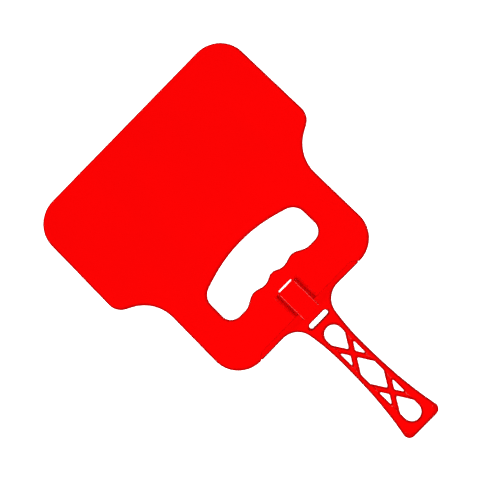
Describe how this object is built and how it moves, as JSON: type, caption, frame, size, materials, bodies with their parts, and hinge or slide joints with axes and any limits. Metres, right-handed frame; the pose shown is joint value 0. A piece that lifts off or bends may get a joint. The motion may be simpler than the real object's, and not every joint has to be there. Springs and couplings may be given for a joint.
{
  "type": "charcoal hand fan",
  "caption": "Flat moulded hand fan for charcoal: a wide blade with a finger-shaped grip hole, and a lattice handle that plugs onto its edge and is kept by a latch tongue.",
  "frame": {"origin": "under the middle of the whole fan, on the plane that its back rests on", "axes": "+Y along the fan from the handle's end to the blade's far edge, +Z out of the front face, +X to the right across the blade"},
  "size_m": [0.2474, 0.38, 0.008],
  "materials": {
    "blade_plastic": "smooth moulded polypropylene, lightly glossy",
    "handle_plastic": "smooth moulded polypropylene with rounded, glossy edges",
    "tongue_plastic": "smooth moulded polypropylene with rounded, glossy edges"
  },
  "bodies": {
    "blade_body": {"blade": "blade_plastic"},
    "handle_body": {"handle": "handle_plastic"},
    "latch_body": {"latch_tongue": "tongue_plastic"}
  },
  "joints": [
    {"name": "handle_slide", "type": "slide", "parent": "blade_body", "child": "handle_body", "axis": [0, -1, 0], "range_m": [0, 0.04]},
    {"name": "latch_flex", "type": "hinge", "parent": "handle_body", "child": "latch_body", "pos_m": [0, -0.0548, 0.0065], "axis": [1, 0, 0], "range_deg": [0, 8], "stiffness_Nm_per_rad": 0.1}
  ]
}
